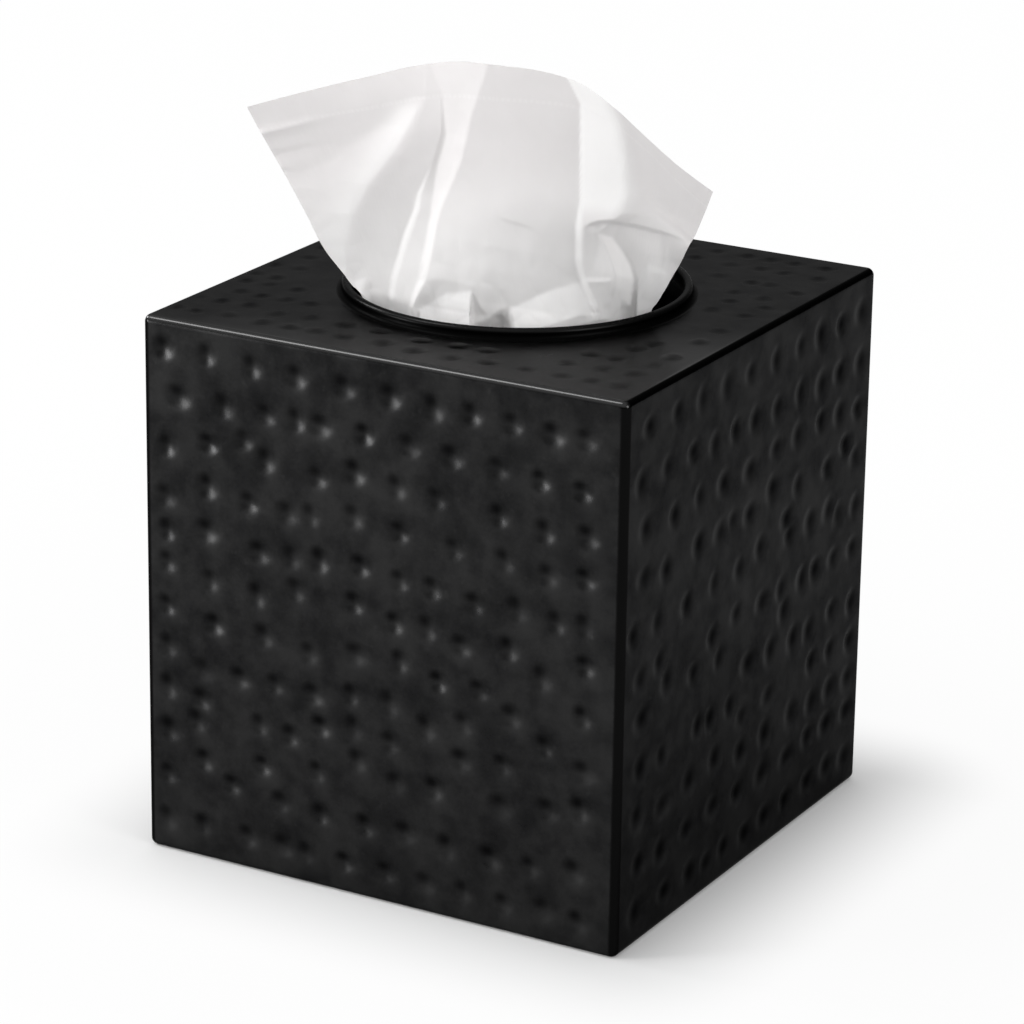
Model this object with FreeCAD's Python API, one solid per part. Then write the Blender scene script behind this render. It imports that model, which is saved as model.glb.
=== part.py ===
import FreeCAD
import Part
import os
from FreeCAD import Vector

# A square tissue box cover of hammered sheet steel that slips down over a cube carton of tissues.
# X runs along the front wall, Y towards the back and Z up. The origin is the middle of the base.
# All lengths are in millimetres.

# The cover's outside, its sheet and the bends that round every edge
cover_width = 139.7
cover_height = 146.05
cover_sheet = 0.8
bend_inner_radius = 1.2

# The bead round the opening in the top
rim_inner_radius = 43.2
rim_width = 2.4
rim_height = 3.1

# The room that the cover leaves round the carton, over it, and inside the turned-in lower edge
carton_side_room = 13.15
carton_head_room = 18.25
carton_entry_clearance = 6.95

# The carton: one folded blank of paperboard
carton_board = 0.5
carton_fold_inner_radius = 0.6
carton_opening_end_margin = 8.4
carton_opening_side_margin = 30.9

# The clear film glued under the carton's opening, and the slit that grips the raised sheet
film_sheet = 0.2
film_glue_margin = 5.0
film_flap_clearance = 1.4
slit_end_margin = 5.5
slit_half_gap = 4.5

# The clip of tissues, bent over into an upside-down U
clip_side_clearance = 1.6
clip_end_clearance = 2.15
clip_crown_room = 6.0
clip_gap = 8.0
clip_foot = 8.0
clip_shoulder_share = 0.7
clip_outer_end_share = 0.44
clip_crown_thickness_share = 0.14

# The sheets that lie over the clip: the next one to rise, and the tail of the raised one
tissue_layer = 0.8
layer_clearance = 0.3
tail_fold_clearance = 2.0
tail_end_share = 0.62

# The raised tissue, a fan of pleats
tissue_sheet = 0.8
fan_half_width = 62.0
fan_height = 62.0
fan_lean = 21.0
neck_drop = 3.4
rim_clearance = 0.3

# One overrun for every cut
overrun = 5.0

cover_half = cover_width / 2
edge_radius = bend_inner_radius + cover_sheet
rim_outer_radius = rim_inner_radius + rim_width
rim_top = cover_height + rim_height
carton_width = cover_width - 2 * (cover_sheet + carton_side_room)
carton_half = carton_width / 2
carton_height = cover_height - cover_sheet - carton_head_room
carton_inner_half = carton_half - carton_board
carton_opening_half_length = carton_half - carton_opening_end_margin
carton_opening_half_width = carton_half - carton_opening_side_margin
base_half_opening = carton_half + carton_entry_clearance
film_half_length = carton_opening_half_length + film_glue_margin
film_half_width = carton_opening_half_width + film_glue_margin
film_top = carton_height - carton_board
film_bottom = film_top - film_sheet
slit_half_length = carton_opening_half_length - slit_end_margin
clip_base = 2 * carton_board
clip_top = film_bottom - clip_crown_room
clip_half = carton_inner_half - clip_side_clearance
clip_half_width = carton_inner_half - clip_end_clearance


def block(x_half, y_half, low, high):
    """A box centred on the Z axis between two heights."""
    return Part.makeBox(2 * x_half, 2 * y_half, high - low, Vector(-x_half, -y_half, low))


def rounded_box(half, low, high, radius):
    """A square box with all twelve edges rounded."""
    box = block(half, half, low, high)
    return box.makeFillet(radius, box.Edges)


def upright_box(half, low, high, radius):
    """A square box with its four upright edges rounded."""
    box = block(half, half, low, high)
    upright = [e for e in box.Edges if e.BoundBox.ZLength > e.BoundBox.XLength + e.BoundBox.YLength]
    return box.makeFillet(radius, upright)


def stadium(half_length, half_width, low, high):
    """An oval block: two half circles joined by straight sides, long along X."""
    straight = half_length - half_width
    middle = block(straight, half_width, low, high)
    right = Part.makeCylinder(half_width, high - low, Vector(straight, 0, low))
    left = Part.makeCylinder(half_width, high - low, Vector(-straight, 0, low))
    return middle.fuse([right, left]).removeSplitter()


def along_y(edges, y_start, y_end):
    """The solid that an outline in the XZ plane sweeps between two places along Y."""
    face = Part.Face(Part.Wire(Part.__sortEdges__(edges)))
    face.translate(Vector(0, y_start, 0))
    return face.extrude(Vector(0, y_end - y_start, 0))


def line(x1, z1, x2, z2):
    """A straight edge in the XZ plane."""
    return Part.makeLine(Vector(x1, 0, z1), Vector(x2, 0, z2))


def arc(x1, z1, x2, z2, x3, z3):
    """An arc in the XZ plane through three points."""
    return Part.Arc(Vector(x1, 0, z1), Vector(x2, 0, z2), Vector(x3, 0, z3)).toShape()


# The five hammered sheets

def cover_shell():
    """The whole cover in one piece: rounded sheet, open above and turned in below."""
    outer = rounded_box(cover_half, 0, cover_height, edge_radius)
    inner_half = cover_half - cover_sheet
    inner_top = cover_height - cover_sheet
    inner = rounded_box(inner_half, cover_sheet, inner_top, bend_inner_radius)
    base_opening = upright_box(base_half_opening, -overrun, cover_sheet + overrun, edge_radius)
    top_opening = Part.makeCylinder(rim_inner_radius, cover_height, Vector(0, 0, cover_height / 2))
    return outer.cut(inner).cut(base_opening).cut(top_opening)


def cover_walls(shell):
    """Front, right, back and left walls, mitred and welded at the corners."""
    reach = cover_half + overrun
    corners = [Vector(0, 0, -overrun), Vector(-reach, -reach, -overrun), Vector(reach, -reach, -overrun)]
    wedge = Part.Face(Part.makePolygon(corners + corners[:1]))
    wedge = wedge.extrude(Vector(0, 0, cover_height - edge_radius + overrun))
    walls = {}
    for turn, name in enumerate(["front_wall", "right_wall", "back_wall", "left_wall"]):
        quarter = wedge.copy()
        quarter.rotate(Vector(0, 0, 0), Vector(0, 0, 1), 90 * turn)
        walls[name] = shell.common(quarter)
    return walls


def top_panel(shell):
    """The top, pressed with its rounded edges, which meet the walls just below the bend."""
    reach = cover_half + overrun
    return shell.common(block(reach, reach, cover_height - edge_radius, cover_height + overrun))


def opening_rim():
    """The bead that stands round the opening: straight sides under a half-round crest."""
    crest_radius = rim_width / 2
    crest_centre = rim_inner_radius + crest_radius
    shoulder = rim_top - crest_radius
    profile = [
        line(rim_inner_radius, cover_height, rim_outer_radius, cover_height),
        line(rim_outer_radius, cover_height, rim_outer_radius, shoulder),
        Part.Arc(
            Vector(rim_outer_radius, 0, shoulder),
            Vector(crest_centre, 0, rim_top),
            Vector(rim_inner_radius, 0, shoulder),
        ).toShape(),
        line(rim_inner_radius, shoulder, rim_inner_radius, cover_height),
    ]
    face = Part.Face(Part.Wire(profile))
    return face.revolve(Vector(0, 0, 0), Vector(0, 0, 1), 360)


# The carton, a folded blank, face by face

def carton_walls():
    """The four standing walls, a square tube with creased corners."""
    low = carton_board
    high = carton_height - carton_board
    fold_outer_radius = carton_fold_inner_radius + carton_board
    outer = upright_box(carton_half, low, high, fold_outer_radius)
    inner = upright_box(carton_inner_half, low - overrun, high + overrun, carton_fold_inner_radius)
    return outer.cut(inner)


def carton_top():
    """The outer top flap, with the oval opening torn out of it."""
    fold_outer_radius = carton_fold_inner_radius + carton_board
    plate = upright_box(carton_half, carton_height - carton_board, carton_height, fold_outer_radius)
    opening = stadium(
        carton_opening_half_length,
        carton_opening_half_width,
        carton_height - overrun,
        carton_height + overrun,
    )
    return plate.cut(opening)


def carton_base():
    """The outer base flap."""
    return upright_box(carton_half, 0, carton_board, carton_fold_inner_radius + carton_board)


def dust_flaps(low):
    """A front and a back flap, one board thick, that stop short of the dispensing film."""
    start = film_half_width + film_flap_clearance
    reach = carton_inner_half - start
    half_length = carton_inner_half - carton_fold_inner_radius
    front = Part.makeBox(
        2 * half_length, reach, carton_board, Vector(-half_length, -carton_inner_half, low)
    )
    back = Part.makeBox(2 * half_length, reach, carton_board, Vector(-half_length, start, low))
    return Part.Compound([front, back])


def dispensing_film():
    """The clear film under the carton's opening, its slit pushed open by the raised sheet."""
    film = block(film_half_length, film_half_width, film_bottom, film_top)
    near = Part.Arc(
        Vector(-slit_half_length, 0, 0),
        Vector(0, -slit_half_gap, 0),
        Vector(slit_half_length, 0, 0),
    ).toShape()
    far = Part.Arc(
        Vector(slit_half_length, 0, 0),
        Vector(0, slit_half_gap, 0),
        Vector(-slit_half_length, 0, 0),
    ).toShape()
    slit = Part.Face(Part.Wire([near, far]))
    slit.translate(Vector(0, 0, film_bottom - overrun))
    return film.cut(slit.extrude(Vector(0, 0, 2 * overrun)))


# The tissues inside the carton

def over_clip(offset, end_height):
    """The path over the bent clip, from leg to leg, standing off it by an offset."""
    half = clip_half + offset
    top = clip_top + offset
    radius = clip_shoulder_share * clip_half + offset
    diagonal = radius / 2 ** 0.5
    centre_x = half - radius
    centre_z = top - radius
    return [
        line(-half, end_height, -half, centre_z),
        arc(-half, centre_z, -centre_x - diagonal, centre_z + diagonal, -centre_x, top),
        line(-centre_x, top, centre_x, top),
        arc(centre_x, top, centre_x + diagonal, centre_z + diagonal, half, centre_z),
        line(half, centre_z, half, end_height),
    ]


def tissue_clip():
    """The folded stack: its layers slide over each other where they bend, so the ends slope."""
    outer_end = clip_outer_end_share * clip_top
    gap_half = clip_gap / 2
    foot_end = gap_half + clip_foot
    gap_top = clip_top - clip_crown_thickness_share * clip_top
    gap_shoulder = gap_top - gap_half
    inner = [
        line(clip_half, outer_end, foot_end, clip_base),
        line(foot_end, clip_base, gap_half, clip_base),
        line(gap_half, clip_base, gap_half, gap_shoulder),
        arc(gap_half, gap_shoulder, 0, gap_top, -gap_half, gap_shoulder),
        line(-gap_half, gap_shoulder, -gap_half, clip_base),
        line(-gap_half, clip_base, -foot_end, clip_base),
        line(-foot_end, clip_base, -clip_half, outer_end),
    ]
    return along_y(over_clip(0, outer_end) + inner, -clip_half_width, clip_half_width)


def sheet_over_clip(offset, end_height, y_start, y_end):
    """One folded sheet that follows the clip over its crown."""
    below = over_clip(offset, end_height)
    above = over_clip(offset + tissue_layer, end_height)
    low_x = clip_half + offset
    high_x = low_x + tissue_layer
    ends = [
        line(-high_x, end_height, -low_x, end_height),
        line(low_x, end_height, high_x, end_height),
    ]
    return along_y(below + above + ends, y_start, y_end)


def next_tissue():
    """The top sheet of the clip, the next one to rise."""
    end_height = clip_outer_end_share * clip_top
    return sheet_over_clip(layer_clearance, end_height, -clip_half_width, clip_half_width)


def tissue_tail():
    """The trailing half of the raised sheet, still folded flat over the crown behind the slit."""
    offset = 2 * layer_clearance + tissue_layer
    crown_half = tail_end_share * clip_half
    whole = sheet_over_clip(offset, clip_outer_end_share * clip_top, tail_fold_clearance, clip_half_width)
    keep = block(crown_half, clip_half_width + overrun, 0, cover_height)
    return whole.common(keep)


# The raised tissue

# The fan's fold lines from its left edge to its right edge, at each level. Each pair holds the
# place along X and the place along Y. The neck follows the slit, the collar leans on the rim of
# the opening and the two levels above it follow the fan's half width and its lean.
neck_shares = [
    (-0.70, 0.10), (-0.56, -0.28), (-0.42, 0.22), (-0.28, -0.30), (-0.14, 0.22),
    (0.02, -0.28), (0.20, 0.24), (0.38, -0.26), (0.55, 0.22), (0.70, -0.10),
]
collar_shares = [
    (-0.69, -0.72), (-0.60, -0.56), (-0.51, -0.68), (-0.45, -0.50), (-0.38, -0.64),
    (0.08, -0.48), (0.70, -0.56), (0.76, -0.34), (0.84, -0.44), (0.98, -0.14),
]
waist_shares = [
    (-0.80, -1.42), (-0.52, -1.10), (-0.32, -1.06), (-0.25, -0.94), (-0.20, -1.24),
    (0.12, -1.02), (0.48, -1.06), (0.62, -0.86), (0.74, -0.98), (0.88, -0.52),
]
crown_shares = [
    (-1.26, -1.60), (-0.72, -1.22), (-0.34, -1.02), (-0.12, -1.24), (0.08, -1.20),
    (0.22, -0.96), (0.44, -1.04), (0.62, -0.80), (0.84, -0.78), (1.16, -0.34),
]
waist_height_share = 0.34
crown_height_share = 1.04

# The sheet's upper edge from its left corner to its right corner: X follows the fan's half width
# and Z its height above the opening's rim
upper_edge_shares = [
    (-1.00, 0.70), (-0.64, 0.84), (-0.24, 0.96), (-0.05, 0.985), (0.18, 1.00),
    (0.36, 0.985), (0.54, 0.93), (0.76, 0.76), (0.97, 0.54),
]


def pleated_outline(shares, x_size, y_size, height):
    """A closed outline round the pleated sheet at one height."""
    front = [Vector(x * x_size, y * y_size, height) for x, y in shares]
    back = [point + Vector(0, tissue_sheet, 0) for point in reversed(front)]
    return Part.makePolygon(front + back + front[:1])


def raised_tissue():
    """The leading half of the sheet, drawn through the slit and spread into a leaning fan."""
    waist = rim_top + waist_height_share * fan_height
    crown = rim_top + crown_height_share * fan_height
    collar = rim_inner_radius - rim_clearance
    levels = [
        pleated_outline(neck_shares, slit_half_length, slit_half_gap, film_bottom - neck_drop),
        pleated_outline(neck_shares, slit_half_length, slit_half_gap, carton_height),
        pleated_outline(collar_shares, collar, collar, rim_top),
        pleated_outline(waist_shares, fan_half_width, fan_lean, waist),
        pleated_outline(crown_shares, fan_half_width, fan_lean, crown),
    ]
    fan = Part.makeLoft(levels, True, True)
    edge = [(x * fan_half_width, rim_top + z * fan_height) for x, z in upper_edge_shares]
    reach = 2 * fan_half_width
    ceiling = crown + overrun
    outline = [(-reach, edge[0][1])] + edge + [(reach, edge[-1][1]), (reach, ceiling), (-reach, ceiling)]
    waste = [
        line(x1, z1, x2, z2) for (x1, z1), (x2, z2) in zip(outline, outline[1:] + outline[:1])
    ]
    return fan.cut(along_y(waste, -reach, reach))


def build():
    """Every piece of the cover and of what it holds, by name."""
    shell = cover_shell()
    pieces = cover_walls(shell)
    pieces["top_panel"] = top_panel(shell)
    pieces["opening_rim"] = opening_rim()
    pieces["carton_walls"] = carton_walls()
    pieces["carton_top"] = carton_top()
    pieces["carton_base"] = carton_base()
    pieces["carton_top_flaps"] = dust_flaps(film_top - carton_board)
    pieces["carton_base_flaps"] = dust_flaps(carton_board)
    pieces["dispensing_film"] = dispensing_film()
    pieces["tissue_clip"] = tissue_clip()
    pieces["next_tissue"] = next_tissue()
    pieces["tissue_tail"] = tissue_tail()
    pieces["raised_tissue"] = raised_tissue()
    return pieces


os.makedirs("parts", exist_ok=True)
for name, shape in build().items():
    shape.exportStep(f"parts/{name}.step")
    solids = len(shape.Solids)
    print(f"{name}: {solids} solid(s), valid {shape.isValid()}, {shape.Volume / 1000:.2f} cm3")
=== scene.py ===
# %% [markdown]
# # A hammered tissue box cover
# The real object is a cube of thin sheet steel, hammered by hand and painted black. It slips down
# over a carton of tissues, and one tissue stands up through the round opening in its top.
# This lesson loads the engineering model as a fixed frame, and then dresses it piece by piece:
# first the camera and the light, then the finishes, then the sheet metal, the carton and the paper.

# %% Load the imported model
import math

import bmesh
import bpy
import numpy as np
from mathutils import Matrix, Vector


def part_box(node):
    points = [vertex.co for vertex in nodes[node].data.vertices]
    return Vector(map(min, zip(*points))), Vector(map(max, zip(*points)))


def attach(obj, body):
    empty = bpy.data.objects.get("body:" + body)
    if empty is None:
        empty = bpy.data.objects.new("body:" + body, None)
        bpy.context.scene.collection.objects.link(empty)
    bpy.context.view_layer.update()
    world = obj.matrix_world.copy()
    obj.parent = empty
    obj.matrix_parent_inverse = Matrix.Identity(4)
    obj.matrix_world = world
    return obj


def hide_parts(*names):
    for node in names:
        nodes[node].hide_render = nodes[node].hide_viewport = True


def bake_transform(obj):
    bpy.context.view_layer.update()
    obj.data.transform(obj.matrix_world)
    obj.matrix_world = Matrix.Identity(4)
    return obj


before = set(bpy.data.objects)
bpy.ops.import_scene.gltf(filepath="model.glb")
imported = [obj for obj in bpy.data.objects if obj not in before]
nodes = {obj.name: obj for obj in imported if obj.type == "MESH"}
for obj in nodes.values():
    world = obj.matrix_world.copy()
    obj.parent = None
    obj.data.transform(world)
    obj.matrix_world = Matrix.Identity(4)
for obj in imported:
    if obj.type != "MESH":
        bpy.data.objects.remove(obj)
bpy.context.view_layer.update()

print("nodes in the frame:", ", ".join(sorted(nodes)))

# %% [markdown]
# Most sizes below are read from the frame, so that the dressed pieces fit the engineering ones.
# The frame is in metres, and small shop sizes are easier to read in millimetres, so one constant
# turns millimetres into metres.

# %% Sizes of the cover and the carton
MM = 0.001
top_low, top_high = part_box("top_panel")
rim_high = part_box("opening_rim")[1]
carton_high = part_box("carton_top")[1]
half = top_high.x
height = top_high.z
bend = height - top_low.z
sheet = 0.8 * MM
rim_outer = rim_high.x
rim_inner = rim_outer - 2.4 * MM
rim_top = rim_high.z
print(
    f"cover {2 * half / MM:.1f} wide, {height / MM:.1f} high, "
    f"bends {bend / MM:.1f}, rim top {rim_top / MM:.1f} mm"
)

# %% [markdown]
# ## The camera
# A product photograph like this one is taken from a little over a metre away with a long lens, from
# the front right and somewhat above. The camera could be turned by eye, but the cube has straight
# edges, so the view was worked out from its corners: azimuth, elevation, a slight roll, the
# distance, a small move aside and up, and the focal length. The matrix below is built from those.

# %% Camera at the photograph's viewing angle
azimuth, elevation, roll = (math.radians(a) for a in (29.249, 19.133, 0.868))
distance = 1.165175
aside, lift = 0.33 * MM, 11.45 * MM
picture_pixels = 1024
focal_pixels = 4404.3
back = Vector((
    math.sin(azimuth) * math.cos(elevation),
    -math.cos(azimuth) * math.cos(elevation),
    math.sin(elevation),
))
level = (-back).cross(Vector((0, 0, 1))).normalized()
upright = level.cross(-back)
right = math.cos(roll) * level + math.sin(roll) * upright
up = -math.sin(roll) * level + math.cos(roll) * upright
centre = Vector((0, 0, height / 2))
place = centre + back * distance - right * aside + up * lift

bpy.ops.object.select_all(action="DESELECT")
bpy.ops.object.camera_add(location=place)
camera = bpy.context.object
camera.name = "product_camera"
camera.rotation_euler = Matrix((right, up, back)).transposed().to_euler()
camera.data.sensor_width = 36
camera.data.lens = focal_pixels / picture_pixels * 36
camera.data.clip_end = 50
bpy.context.scene.camera = camera
print(f"lens {camera.data.lens:.1f} mm at {(place - centre).length:.3f} m")

# %% [markdown]
# ## Finishes as sums
# A finish is a small sum: base colour plus a little dust, roughness plus a little grain. The shader
# editor would need a Math node for every plus sign. The class below wraps one socket and makes
# those nodes when it is added, subtracted, multiplied or raised to a power, so a finish reads like
# the sum that it is. Colours and vectors are not numbers, so they go through nodes of their own.

# %% A wrapped socket, and a finish that collects nodes
class Wire:
    """One output socket that can stand in a sum of numbers."""

    def __init__(self, finish, socket):
        self.finish = finish
        self.socket = socket

    def sum_of(self, operation, first, second):
        return self.finish.node("Math", {"operation": operation}, {0: first, 1: second})

    def __add__(self, other):
        return self.sum_of("ADD", self, other)

    def __sub__(self, other):
        return self.sum_of("SUBTRACT", self, other)

    def __rsub__(self, other):
        return self.sum_of("SUBTRACT", other, self)

    def __mul__(self, other):
        return self.sum_of("MULTIPLY", self, other)

    def __pow__(self, other):
        return self.sum_of("POWER", self, other)

    __radd__ = __add__

    def __abs__(self):
        return self.finish.node("Math", {"operation": "ABSOLUTE"}, {0: self})

    def larger(self, other):
        """The larger of two numbers."""
        return self.sum_of("MAXIMUM", self, other)

    def above(self, start, end):
        """0 below the start, 1 above the end and a soft step between them."""
        return self.finish.node(
            "MapRange",
            {"interpolation_type": "SMOOTHSTEP"},
            {"Value": self, "From Min": start, "From Max": end},
        )


class Finish:
    """A material with one Principled shader, and one method that adds any node."""

    def __init__(self, name, **constants):
        self.material = bpy.data.materials.new(name)
        self.begin(self.material, "Principled BSDF")
        self.set(**constants)

    def begin(self, owner, shader):
        owner.use_nodes = True
        self.tree = owner.node_tree
        self.shader = self.tree.nodes[shader]

    def feed(self, socket, value):
        """Joins a wire to a socket, or gives the socket a plain value."""
        if isinstance(value, Wire):
            self.tree.links.new(value.socket, socket)
        else:
            socket.default_value = value

    def set(self, **inputs):
        for socket, value in inputs.items():
            self.feed(self.shader.inputs[socket.replace("_", " ")], value)

    def node(self, kind, settings=None, sockets=None, out=0):
        """Adds a node with its settings and sockets, and wraps one of its outputs."""
        made = self.tree.nodes.new("ShaderNode" + kind)
        for name, value in (settings or {}).items():
            setattr(made, name, value)
        for name, value in (sockets or {}).items():
            self.feed(made.inputs[name], value)
        return Wire(self, made.outputs[out])

    def places(self):
        """The object's own coordinates, in metres."""
        return self.node("TexCoord", out="Object")

    def split(self, vector):
        """The three numbers of a vector."""
        made = self.node("SeparateXYZ", None, {0: vector}).socket.node
        return [Wire(self, output) for output in made.outputs]

    def attribute(self, name):
        """A number that the mesh keeps for each of its points."""
        return self.node("Attribute", {"attribute_name": name}, out=2)

    def stretched(self, vector, scale):
        return self.node("Mapping", {"vector_type": "POINT"}, {"Vector": vector, "Scale": scale})

    def noise(self, vector, scale, detail=3.0, roughness=0.55):
        return self.node(
            "TexNoise", None, {"Vector": vector, "Scale": scale, "Detail": detail, "Roughness": roughness}
        )

    def blend(self, amount, first, second):
        """A mix of two colours."""
        return self.node("Mix", {"data_type": "RGBA"}, {"Factor": amount, 6: first, 7: second}, out=2)

    def bump(self, relief, depth, strength=1.0, below=None):
        """Small relief that only turns the light, of a real depth in metres."""
        sockets = {"Height": relief, "Distance": depth, "Strength": strength}
        if below is not None:
            sockets["Normal"] = below
        return self.node("Bump", None, sockets)

    def share_with(self, other, amount):
        """Mixes the Principled shader with another one, which gets the amount as its share."""
        first = Wire(self, self.shader.outputs[0])
        both = self.node("MixShader", None, {0: amount, 1: first, 2: other})
        self.feed(self.tree.nodes["Material Output"].inputs[0], both)


class Air(Finish):
    """The same sums for the air round the object."""

    def __init__(self, name):
        self.world = bpy.data.worlds.new(name)
        self.begin(self.world, "Background")


def grey(value):
    return (value, value, value, 1.0)


print("finishes can now be written as sums")

# %% [markdown]
# ## The studio
# The object stands on white paper in soft light. Most of the light comes from the air, which is
# brightest overhead and darker toward the right, so that the right wall stays the darker one.
# Five soft boxes are added: three at the left bring out the hammer marks and the edges, one at the
# back lights the top and shines through the tissue, and one at the right lifts the right wall.
#
# A photographer's white background is brighter than paper in the same light. So the floor turns
# into plain white with its distance from the object, where the camera sees it or where it is seen
# in a mirror or through paper. It keeps its own shading close to the object, and there it catches
# the shadow. The camera also sees the air as plain white.

# %% Floor
bpy.ops.object.select_all(action="DESELECT")
bpy.ops.mesh.primitive_circle_add(vertices=96, radius=9.0, fill_type="NGON")
floor = bpy.context.object
floor.name = "studio_floor"
floor_finish = Finish("floor_paper", Base_Color=grey(0.8), Roughness=0.95, Specular_IOR_Level=0.0)
floor_x, floor_y, _ = floor_finish.split(floor_finish.places())
beyond_x, beyond_y = [(abs(number) - half).larger(0.0) for number in (floor_x, floor_y)]
from_object = (beyond_x * beyond_x + beyond_y * beyond_y) ** 0.5
camera_ray, mirrored, through = [
    floor_finish.node("LightPath", out=f"Is {kind} Ray") for kind in ("Camera", "Glossy", "Transmission")
]
seen = camera_ray * (from_object.above(-0.012, 0.045) * 0.93 + from_object.above(0.045, 0.3) * 0.055)
bounced = (mirrored + through).above(0, 1) * from_object.above(0.03, 0.18) * 0.96
white = floor_finish.node("Emission", None, {"Color": grey(1.0), "Strength": 1.0})
floor_finish.share_with(white, seen + bounced)
floor.data.materials.append(floor_finish.material)

# %% Air
air = Air("studio_air")
outward = air.node("TexCoord", out="Generated")
overhead = air.node("MapRange", None, {
    "Value": air.split(outward)[2], "From Min": 0.15, "From Max": 0.5, "To Min": 0.26, "To Max": 0.77,
})
toward_right = air.node(
    "VectorMath", {"operation": "DOT_PRODUCT"}, {0: outward, 1: (0.85, 0.5, 0.0)}, out="Value"
)
drape = air.node("MapRange", {"interpolation_type": "SMOOTHSTEP"}, {
    "Value": toward_right, "From Min": 0.25, "From Max": 0.7, "To Min": 1.0, "To Max": 0.3,
})
to_camera = air.node("LightPath", out="Is Camera Ray")
air.set(
    Color=grey(1.0),
    Strength=air.node("Mix", None, {"Factor": to_camera, "A": overhead * drape, "B": 1.0}),
)
bpy.context.scene.world = air.world
bpy.context.scene.view_settings.view_transform = "Standard"

# %% Soft boxes
middle = Vector((0, 0, height * 0.6))
for name, position, width, length, watts in (
    ("front_box", (-0.97, -0.87, 0.20), 0.3, 0.34, 7.5),
    ("high_box", (-0.74, -0.53, 1.36), 0.36, 0.6, 4.6),
    ("back_box", (-0.92, 1.60, 1.25), 1.5, 0.7, 2.3),
    ("left_box", (-1.30, -0.10, 0.80), 0.3, 0.4, 7),
    ("right_box", (1.25, -0.30, 0.60), 0.6, 0.6, 5.5),
):
    bpy.ops.object.select_all(action="DESELECT")
    bpy.ops.object.light_add(type="AREA", location=position)
    lamp = bpy.context.object
    lamp.name = name
    lamp.data.shape = "RECTANGLE"
    lamp.data.size = width
    lamp.data.size_y = length
    lamp.data.energy = watts
    lamp.rotation_euler = (middle - Vector(position)).to_track_quat("-Z", "Y").to_euler()
print("studio ready")

# %% [markdown]
# ## Black paint over hammered steel
# The cover is painted satin black after hammering. Paint like this is never one flat value: its
# black is mottled, it holds fine dust, and its skin has a faint orange peel. Beside each mark a
# painted shade makes the paint nearly pure black on the mark's shadowed side, and a painted
# highlight makes it lighter on its lit side. The bends are painted blackest, a painted dark
# reflection, and they are smoothest there. The front and back edges of the top have a thin clear
# coat that catches the light as a fine line. The top is painted lighter toward the corner nearest
# the camera, as it is in the photograph: a painted reflection. Two numbers that each point keeps
# say where the painted shade and the painted highlight of the marks lie.

# %% The paint of the cover and of its rim
def black_paint():
    paint = Finish("hammered_black_paint", Metallic=1.0, Specular_Tint=grey(0.5), Coat_Roughness=0.16)
    spot = paint.places()
    broad = paint.noise(spot, 38.0, 3.0).above(0.3, 0.7)
    mottle = paint.noise(spot, 120.0, 4.0, 0.6).above(0.28, 0.72)
    grain = paint.noise(spot, 900.0, 3.0, 0.7)
    dust = paint.noise(spot, 420.0, 3.0).above(0.62, 0.78)
    x, y, z = paint.split(spot)
    ends = [(abs(x), half), (abs(y), half), (abs(z), height)]
    wide = [number.above(end - 1.5 * bend, end - 0.4 * bend) for number, end in ends]
    tight = [number.above(end - bend, end - 0.35 * bend) for number, end in ends]
    top_edge = (tight[2] + tight[0].larger(tight[1])).above(1.1, 1.9)
    edge = (top_edge + (wide[0] + wide[1]).above(1.1, 1.9)).above(0, 1)
    # Painted reflection: the top is painted lighter toward the corner nearest the camera.
    painted_reflection_near_corner = z.above(height - 0.9 * MM, height - 0.4 * MM) * (x * 0.5 - y).above(0.025, 0.07)
    mix = mottle * 0.5 + broad * 0.2 + grain * 0.3
    colour = paint.blend(mix, (0.0078, 0.0079, 0.0084, 1), grey(0.03))
    # Painted highlight: the lit side of each wall mark is painted lighter.
    colour = paint.blend(paint.attribute("painted_highlight") * 0.28, colour, grey(0.042))
    colour = paint.blend(painted_reflection_near_corner * 0.9, colour, grey(0.07))
    colour = paint.blend(dust * 0.25, colour, grey(0.035))
    # Painted shade: the shadowed side of each wall mark, and the middle of each mark on the top, is painted
    # nearly black.
    colour = paint.blend(paint.attribute("hollow") * 0.92, colour, (0.0022, 0.0022, 0.0024, 1))
    # Painted dark reflection: the bends are painted near black, and they are smoother there too.
    paint.set(Base_Color=paint.blend(edge, colour, grey(0.005)), Coat_Weight=top_edge * tight[1])
    paint.set(Roughness=0.31 + (mottle - 0.5) * 0.05 + (grain - 0.5) * 0.10 + dust * 0.06 - edge * 0.13)
    peel = paint.noise(spot, 650.0, 2.0) + paint.noise(spot, 170.0, 2.0) * 1.6
    paint.set(Normal=paint.bump(peel, 0.014 * MM))
    return paint.material


def rim_finish():
    """The bead's paint: its own satin black on the crest and at the foot, and painted shade, near black, on
    the flank between them and inside.
    """
    paint = Finish("rim_black_paint", Metallic=1.0, Specular_Tint=grey(0.5))
    spot = paint.places()
    z = paint.split(spot)[2]
    grain = paint.noise(spot, 900.0, 3.0)
    crest = z.above(rim_top - 1.3 * MM, rim_top - 0.3 * MM)
    foot = 1 - z.above(height - 0.02 * MM, height + 0.16 * MM)
    # Painted shade: the flank and the inside of the bead are painted near black.
    colour = paint.blend(crest + foot, grey(0.0025), grey(0.017))
    paint.set(Base_Color=paint.blend(grain * 0.3, colour, grey(0.004)))
    paint.set(Roughness=0.38 - crest * 0.1 + (grain - 0.5) * 0.08)
    paint.set(Normal=paint.bump(paint.noise(spot, 500.0, 2.0), 0.008 * MM))
    return paint.material


hammered_paint = black_paint()
rim_paint = rim_finish()


# %% [markdown]
# ## Working by hand in code
# Each new piece starts as a primitive and is shaped with the same operators as in the window. The
# helpers below keep that short. They select, apply a modifier, smooth what is smooth and keep real
# edges sharp, read and move points, and hand the finished piece to its body and its slot.

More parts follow.
